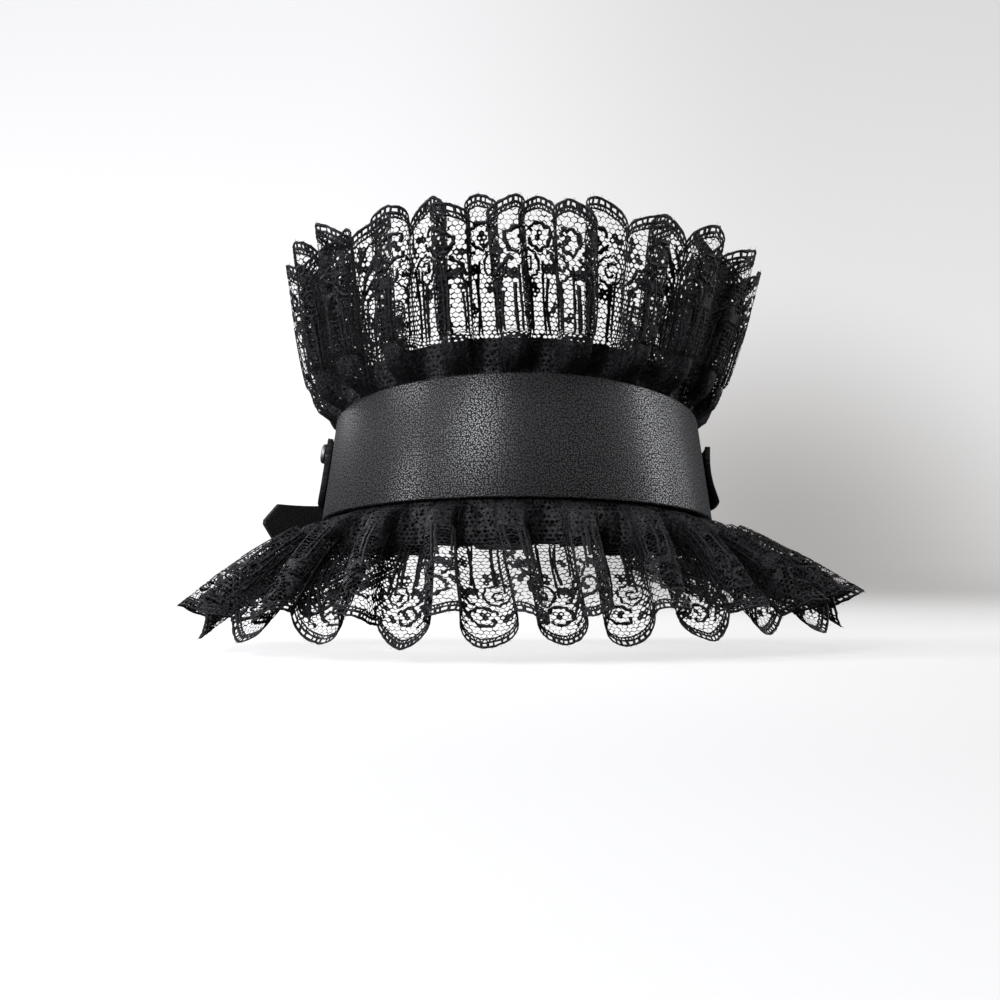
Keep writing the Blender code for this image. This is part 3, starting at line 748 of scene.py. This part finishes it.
def thread_material(name, colour):
    """Black twisted thread: dull, with paler fibres here and there, partly the thread's own tone and partly
    painted glints.
    """
    graph = Graph(name, colour, THREAD)
    fibre = graph.noise(graph.place(FIBRES_A_MM), *FIBRE_NOISE)
    # Paler fibres: partly the thread's own tone, partly painted glints
    dark, pale_and_glint = (shade(colour, times) for times in FIBRE_TONES_AND_GLINTS)
    graph.feed("Base Color", graph.mix(graph.ramp(fibre, *FIBRE_RANGE), dark, pale_and_glint))
    graph.bump(fibre, *FIBRE_RELIEF)
    return graph.material


LEATHER = {"Specular IOR Level": 0.22, "Coat Roughness": 0.33}
GRAIN_RANGE = (0.5, 0.96)
GRAIN_BEND = 0.8
GRAIN_UNEVENNESS = 0.85
GRAIN_TONE_AND_PAINTED_LIGHT = (0.25, 2.6)
GRAIN_RELIEF = (1.0, 0.18)
BEND_NOISE = (0.8, 2.0)
FINE_NOISE = (2.6, 3.0)
FINE_SHARE = 0.3
BROAD_NOISE = (0.05, 2.0)
BROAD_ROUGHNESS = 0.1
CREASE_ROUGHNESS = 0.3


def leather_material(name, colour, shine, grain, depth, bulge=0.0):
    """Pebbled leather: small shiny grains with matt creases between them, over a slight bulge; its colour
    mixes the grain's tone with painted shade in the creases and a painted highlight on the grain tops.

    The grain is laid out flat round the neck, by the angle there and the height.
    """
    graph = Graph(name, colour, {**LEATHER, "Roughness": shine})
    place = graph.place(1.0 / grain)
    x, y, z = graph.split(graph.place())
    angle = graph.node("ShaderNodeMath", {"operation": "ARCTAN2"}, {0: x, 1: 0 - y})
    level = graph.node("ShaderNodeCombineXYZ", {}, {0: angle * (RING_RADIUS / grain), 1: z / grain})
    wander = graph.noise(place, *BEND_NOISE, "Color")
    bent = graph.node("ShaderNodeVectorMath", {"operation": "MULTIPLY_ADD"},
                      {0: wander, 1: (GRAIN_BEND, GRAIN_BEND, GRAIN_BEND), 2: level})
    apart = graph.node("ShaderNodeTexVoronoi", {"voronoi_dimensions": "2D"},
                       {"Vector": bent, "Scale": 1.0, "Randomness": GRAIN_UNEVENNESS}, "Distance")
    pebble = graph.ramp(1 - apart, *GRAIN_RANGE)
    fine = graph.noise(place, *FINE_NOISE)
    broad = graph.noise(place, *BROAD_NOISE)
    height = z + y * RING_RISE_AT_BACK / (x * x + y * y) ** 0.5
    graph.bump((pebble + fine * FINE_SHARE) * depth - height * height * bulge, *GRAIN_RELIEF)
    # Colour: painted shade in the creases and a painted highlight on the grain tops, over the grain's own
    # tone
    painted_crease_shade, top = (shade(colour, times) for times in GRAIN_TONE_AND_PAINTED_LIGHT)
    graph.feed("Base Color", graph.mix(pebble * depth, painted_crease_shade, top))
    graph.feed("Roughness", broad * BROAD_ROUGHNESS + (1 - pebble) * CREASE_ROUGHNESS
               + (shine - BROAD_ROUGHNESS / 2))
    graph.feed("Coat Weight", pebble * depth)
    return graph.material


CLOTH = {"Roughness": 0.85, "Specular IOR Level": 0.12}
CLOTH_NOISE = (0.2, 2.0)
CLOTH_PAINTED_FOLD_LIGHT = 1.6
WEAVE_A_MM = 2.6
WEAVE_RELIEF = (0.3, 0.1)


def cloth_material(name, colour):
    """Plain close-woven matt cloth, with broad paler patches that are painted light and shade of soft folds.
    """
    graph = Graph(name, colour, CLOTH)
    place = graph.place()
    weave = graph.node("ShaderNodeTexVoronoi", {}, {"Vector": place, "Scale": WEAVE_A_MM}, "Distance")
    # Colour: broad paler patches of painted light and shade from soft folds
    graph.feed("Base Color", graph.mix(graph.noise(place, *CLOTH_NOISE), colour, shade(colour, CLOTH_PAINTED_FOLD_LIGHT)))
    graph.bump(weave, *WEAVE_RELIEF)
    return graph.material


RUBS_A_MM = 0.9
RUB_NOISE = (1.0, 4.0)
RUB_ROUGHNESS = 0.3
RUB_RELIEF = (0.15, 0.05)


def metal_material(name, colour, roughness):
    """Cast metal with fine rubbing marks."""
    graph = Graph(name, colour, {"Roughness": roughness, "Metallic": 1.0})
    rub = graph.noise(graph.place(RUBS_A_MM), *RUB_NOISE)
    graph.feed("Roughness", rub * RUB_ROUGHNESS + (roughness - RUB_ROUGHNESS / 2))
    graph.bump(rub, *RUB_RELIEF)
    return graph.material


class LaceSettings(bpy.types.PropertyGroup):
    cells: bpy.props.IntProperty(name="Net cells", description="Net cells in one scallop", default=13, min=4)
    hole: bpy.props.FloatProperty(name="Hole share", description="Width of a hole as a share of its cell",
                                  default=0.87, min=0.3, max=0.95, subtype="FACTOR")
    thread: bpy.props.FloatProperty(name="Thread", description="Depth of the net's threads", default=0.00014,
                                    unit="LENGTH")
    colour: bpy.props.FloatVectorProperty(name="Thread colour", description="Colour of the lace thread",
                                          default=(0.0048, 0.0048, 0.0054), subtype="COLOR", min=0.0, max=1.0)
    stand: bpy.props.FloatVectorProperty(name="Stand colour", description="Colour of the cloth stand",
                                         default=(0.005, 0.005, 0.006), subtype="COLOR", min=0.0, max=1.0)


class LeatherSettings(bpy.types.PropertyGroup):
    edge: bpy.props.FloatProperty(name="Edge rounding", description="Rounding of the band's edges",
                                  default=0.00045, unit="LENGTH")
    grain: bpy.props.FloatProperty(name="Grain", description="Width of one grain, in millimetres",
                                   default=0.6, min=0.1)
    colour: bpy.props.FloatVectorProperty(name="Leather colour", description="Colour of the leather",
                                          default=(0.0068, 0.0068, 0.0078), subtype="COLOR", min=0.0, max=1.0)
    metal: bpy.props.FloatVectorProperty(name="Metal colour", description="Colour of the rivets and buckle",
                                         default=(0.42, 0.42, 0.43), subtype="COLOR", min=0.0, max=1.0)


class StageSettings(bpy.types.PropertyGroup):
    floor: bpy.props.FloatProperty(name="Floor height", description="Height of the floor", default=-0.0525,
                                   unit="LENGTH")
    distance: bpy.props.FloatProperty(name="Camera distance", description="Distance from the ring's middle",
                                      default=1.0, unit="LENGTH")


def replace_piece(item, node):
    """Puts a piece in the place of a solid, which it hides, on the root body."""
    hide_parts(node)
    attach(item, "root")


def make_lace(strip, node, settings):
    """Makes a strip's net in the place of its solid, and the lacework on it."""
    columns = int(strip.length / SCALLOP_WIDTH * settings.cells)
    parts, area = net_part(strip, columns, settings.hole, settings.thread / MM)
    material = thread_material(f"{strip.name}_thread", tuple(settings.colour))
    net = parts.piece(f"{strip.name}_net", material)
    work = lacework_part(strip).piece(f"{strip.name}_lacework", material)
    work.data.shade_smooth()
    replace_piece(net, node)
    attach(work, "root")


class CHOKER_OT_upper_lace(bpy.types.Operator):
    """Makes the upper ruffle's net, motifs, border and stems"""
    bl_idname = "choker.upper_lace"
    bl_label = "Upper lace"

    def execute(self, context):
        make_lace(UPPER, "ruffle_upper", context.scene.choker_lace)
        return {"FINISHED"}


class CHOKER_OT_lower_lace(bpy.types.Operator):
    """Makes the lower ruffle's net, motifs, border and stems"""
    bl_idname = "choker.lower_lace"
    bl_label = "Lower lace"

    def execute(self, context):
        make_lace(LOWER, "ruffle_lower", context.scene.choker_lace)
        return {"FINISHED"}


# Roundings: width in metres and segments
MERGE_DISTANCE = 0.00001
BAND_SEGMENTS = 3
THIN_EDGE = (0.0003, 2)
METAL_EDGE = (0.0001, 1)
ROUNDED_ABOVE = radians(50)
SMOOTH_BELOW = radians(40)
BAND_SHINE = 0.34
STRAP_SHINE = 0.55
STRAP_GRAIN_DEPTH = 0.35
BUCKLE_ROUGHNESS = 0.32
RIVET_ROUGHNESS = 0.5
RIVET_SHADE = 0.4


def node_copy(node, name, material, rounding, segments):
    """A merged copy of a solid with rounded edges, which stands for it."""
    bpy.ops.object.select_all(action="DESELECT")
    item = bpy.data.objects.new(name, bpy.data.objects[node].data.copy())
    bpy.context.collection.objects.link(item)
    item.data.materials.clear()
    item.data.materials.append(material)
    item.select_set(True)
    bpy.context.view_layer.objects.active = item
    bpy.ops.object.mode_set(mode="EDIT")
    bpy.ops.mesh.select_all(action="SELECT")
    bpy.ops.mesh.remove_doubles(threshold=MERGE_DISTANCE)
    bpy.ops.mesh.tris_convert_to_quads()
    bpy.ops.object.mode_set(mode="OBJECT")
    bevel = item.modifiers.new("Rounding", "BEVEL")
    bevel.width = rounding
    bevel.segments = segments
    bevel.limit_method = "ANGLE"
    bevel.angle_limit = ROUNDED_ABOVE
    bpy.ops.object.modifier_apply(modifier=bevel.name)
    bpy.ops.object.shade_smooth_by_angle(angle=SMOOTH_BELOW)
    replace_piece(item, node)


class CHOKER_OT_band(bpy.types.Operator):
    """Makes the leather band with rounded edges and pebbled grain"""
    bl_idname = "choker.band"
    bl_label = "Leather band"

    def execute(self, context):
        settings = context.scene.choker_leather
        material = leather_material("band_leather", tuple(settings.colour), BAND_SHINE, settings.grain, 1.0,
                                    BAND_BULGE)
        node_copy("band", "leather_band", material, settings.edge, BAND_SEGMENTS)
        return {"FINISHED"}


class CHOKER_OT_stand(bpy.types.Operator):
    """Makes the cloth stand behind the band"""
    bl_idname = "choker.stand"
    bl_label = "Cloth stand"

    def execute(self, context):
        material = cloth_material("stand_cloth", tuple(context.scene.choker_lace.stand))
        node_copy("stand", "cloth_stand", material, *THIN_EDGE)
        return {"FINISHED"}


class CHOKER_OT_straps(bpy.types.Operator):
    """Makes the tabs, straps and keeper"""
    bl_idname = "choker.straps"
    bl_label = "Straps and keeper"

    def execute(self, context):
        settings = context.scene.choker_leather
        material = leather_material("strap_leather", tuple(settings.colour), STRAP_SHINE, settings.grain,
                                    STRAP_GRAIN_DEPTH)
        for node in ("strap_left", "strap_right", "keeper"):
            node_copy(node, f"leather_{node}", material, *THIN_EDGE)
        return {"FINISHED"}


class CHOKER_OT_metal(bpy.types.Operator):
    """Makes the rivets, buckle frame and prong"""
    bl_idname = "choker.metal"
    bl_label = "Buckle and rivets"

    def execute(self, context):
        colour = tuple(context.scene.choker_leather.metal)
        steel = metal_material("buckle_metal", colour, BUCKLE_ROUGHNESS)
        for node in ("buckle_frame", "buckle_prong"):
            node_copy(node, f"metal_{node}", steel, *METAL_EDGE)
        dull = metal_material("rivet_metal", shade(colour, RIVET_SHADE), RIVET_ROUGHNESS)
        for node in ("rivet_left", "rivet_right"):
            node_copy(node, f"metal_{node}", dull, *METAL_EDGE)
        return {"FINISHED"}


class CHOKER_OT_stage(bpy.types.Operator):
    """Makes the floor, backdrop, lights and camera"""
    bl_idname = "choker.stage"
    bl_label = "Stage"

    def execute(self, context):
        settings = context.scene.choker_stage
        make_backdrop(settings.floor)
        make_camera(settings.distance)
        make_lights()
        return {"FINISHED"}


# Backdrop, in metres
SHEET_REACH = 14.0
SHEET_TOP = 3.0
CURVE_START = 0.9
CURVE_RADIUS = 0.8
CURVE_STEPS = 12

# Its paper glows with painted light: colours, painted shade to the right, at the top and towards the front, a
# painted shadow low on the right, and the ranges in metres over which they change
PAPER = {"Roughness": 0.9, "Specular IOR Level": 0.0, "Emission Strength": 1.0}
PAPER_COLOUR = (0.2, 0.2, 0.2)
PAPER_LEFT = (0.82, 0.82, 0.83)
PAPER_RIGHT_SHADED = (0.6, 0.595, 0.59)
RIGHT_RANGE = (-0.15, 0.25)
TOP_SHADE = 0.14
TOP_RANGE = (0.05, 0.45)
FRONT_SHADE = 0.2
FRONT_RANGE = (-0.1, 0.5)
PAINTED_SHADOW_COLOUR = (0.22, 0.205, 0.19)
PAINTED_SHADOW_X, PAINTED_SHADOW_Z = 0.175, -0.03
PAINTED_SHADOW_WIDE, PAINTED_SHADOW_HIGH = 0.26, 0.20
PAINTED_SHADOW_RANGE = (0.1, 0.7)


def make_backdrop(floor):
    """Floor that curves up into a backdrop behind the choker."""
    bpy.ops.object.select_all(action="DESELECT")
    profile = [(-SHEET_REACH, floor), (CURVE_START, floor)]
    for step in range(1, CURVE_STEPS + 1):
        turn = radians(90 * step / CURVE_STEPS)
        profile.append((CURVE_START + CURVE_RADIUS * sin(turn), floor + CURVE_RADIUS * (1 - cos(turn))))
    profile.append((CURVE_START + CURVE_RADIUS, SHEET_TOP))
    points = [(side * SHEET_REACH, y, z) for y, z in profile for side in (-1, 1)]
    faces = [(2 * k, 2 * k + 1, 2 * k + 3, 2 * k + 2) for k in range(len(profile) - 1)]
    mesh = bpy.data.meshes.new("backdrop")
    mesh.from_pydata(points, [], faces)
    mesh.shade_smooth()
    mesh.materials.append(paper_material())
    item = bpy.data.objects.new("backdrop", mesh)
    item.visible_glossy = False
    item.visible_diffuse = False
    bpy.context.collection.objects.link(item)


def paper_material():
    """White paper that lights itself a little: painted shade makes it greyer to the right, and a soft painted
    shadow lies low on the right.
    """
    graph = Graph("backdrop_paper", PAPER_COLOUR, PAPER)
    x, y, z = graph.split(graph.node("ShaderNodeTexCoord", {}, {}, "Object"))
    # Painted shade: the glow greys from left to right
    paper = graph.mix(graph.ramp(x, *RIGHT_RANGE), PAPER_LEFT, PAPER_RIGHT_SHADED)
    # Painted shade darkens the glow at the top and on the floor towards the front
    shaded = graph.ramp(z, *TOP_RANGE) * TOP_SHADE + graph.ramp(0 - y, *FRONT_RANGE) * FRONT_SHADE
    paper = graph.mix(shaded, paper, (0.0, 0.0, 0.0))
    # Painted shadow: a soft darker area low on the right, fading towards the front
    from_middle = ((x - PAINTED_SHADOW_X) / PAINTED_SHADOW_WIDE) ** 2 + ((z - PAINTED_SHADOW_Z) / PAINTED_SHADOW_HIGH) ** 2
    painted_shadow = graph.ramp(1 - from_middle ** 0.5, 0.0, 1.0) * graph.ramp(y, *PAINTED_SHADOW_RANGE)
    graph.feed("Emission Color", graph.mix(painted_shadow, paper, PAINTED_SHADOW_COLOUR))
    return graph.material


# The camera looks straight at the back; its lens is in millimetres for each metre of distance
CAMERA_X, CAMERA_Z = -0.0051, -0.0076
SENSOR_WIDTH = 36.0
LENS_A_METRE = 119.5


def make_camera(distance):
    data = bpy.data.cameras.new("camera")
    data.sensor_width = SENSOR_WIDTH
    data.lens = LENS_A_METRE * distance
    item = bpy.data.objects.new("camera", data)
    item.location = (CAMERA_X, -distance, CAMERA_Z)
    item.rotation_euler = (radians(90), 0.0, 0.0)
    bpy.context.collection.objects.link(item)
    bpy.context.scene.camera = item


# Lights round the choker: bearing from the back and height in degrees, width and height in metres, power
LIGHT_DISTANCE = 1.6
LIGHTS = (
    ("left_window", -23.5, 21.0, (0.5, 0.5), 22.0),
    ("left_wide", -36.0, 15.0, (0.6, 0.6), 8.0),
    ("left_low", -66.0, 4.0, (0.4, 0.5), 13.0),
    ("left_high", -80.0, 33.0, (0.6, 0.5), 20.0),
    ("left_rim", -138.0, 24.0, (0.5, 0.8), 7.0),
    ("right_window", 94.0, 14.0, (0.4, 1.0), 22.0),
    ("right_rim", 115.0, 10.0, (0.4, 0.8), 6.0),
)
OVERHEAD_PLACE = (0.0, -0.1, 1.8)
OVERHEAD_SIZE = (1.0, 1.0)
OVERHEAD_POWER = 13.0
LIGHT_COLOUR = (0.96, 0.97, 1.0)
ROOM_LIGHT = 0.02


def aim(azimuth, elevation, distance):
    """Place at a bearing in degrees from the back of the neck, positive towards +X."""
    turn, rise = radians(azimuth), radians(elevation)
    return distance * sin(turn) * cos(rise), -distance * cos(turn) * cos(rise), distance * sin(rise)


def make_light(name, place, size, power):
    data = bpy.data.lights.new(name, "AREA")
    data.shape = "RECTANGLE"
    data.size, data.size_y = size
    data.energy = power
    data.color = LIGHT_COLOUR
    item = bpy.data.objects.new(name, data)
    item.location = place
    item.rotation_euler = Vector(place).to_track_quat("Z", "Y").to_euler()
    bpy.context.collection.objects.link(item)


def make_lights():
    for name, azimuth, elevation, size, power in LIGHTS:
        make_light(name, aim(azimuth, elevation, LIGHT_DISTANCE), size, power)
    make_light("overhead", OVERHEAD_PLACE, OVERHEAD_SIZE, OVERHEAD_POWER)
    world = bpy.data.worlds.new("studio")
    world.use_nodes = True
    world.node_tree.nodes["Background"].inputs["Color"].default_value = (1.0, 1.0, 1.0, 1.0)
    world.node_tree.nodes["Background"].inputs["Strength"].default_value = ROOM_LIGHT
    bpy.context.scene.world = world
    bpy.context.scene.view_settings.view_transform = "Standard"


class CHOKER_PT_panel(bpy.types.Panel):
    """Lists the choker's pieces and settings"""
    bl_idname = "CHOKER_PT_panel"
    bl_label = "Lace choker"
    bl_space_type = "VIEW_3D"
    bl_region_type = "UI"
    bl_category = "Choker"

    def draw(self, context):
        layout = self.layout
        for group, _ in SETTINGS:
            settings = getattr(context.scene, group)
            for name in settings.bl_rna.properties.keys():
                if name not in ("rna_type", "name"):
                    layout.prop(settings, name)
        for operator in OPERATORS:
            layout.operator(operator.bl_idname)


SETTINGS = (("choker_lace", LaceSettings), ("choker_leather", LeatherSettings),
            ("choker_stage", StageSettings))
OPERATORS = (CHOKER_OT_stage, CHOKER_OT_upper_lace, CHOKER_OT_lower_lace, CHOKER_OT_band, CHOKER_OT_stand,
             CHOKER_OT_straps, CHOKER_OT_metal)


def register():
    for name, group in SETTINGS:
        bpy.utils.register_class(group)
        setattr(bpy.types.Scene, name, bpy.props.PointerProperty(type=group))
    for item in (*OPERATORS, CHOKER_PT_panel):
        bpy.utils.register_class(item)


def unregister():
    for item in (CHOKER_PT_panel, *reversed(OPERATORS)):
        bpy.utils.unregister_class(item)
    for name, group in reversed(SETTINGS):
        delattr(bpy.types.Scene, name)
        bpy.utils.unregister_class(group)


def main():
    register()
    bpy.ops.choker.stage()
    bpy.ops.choker.upper_lace()
    bpy.ops.choker.lower_lace()
    bpy.ops.choker.band()
    bpy.ops.choker.stand()
    bpy.ops.choker.straps()
    bpy.ops.choker.metal()


if __name__ == "__main__":
    main()
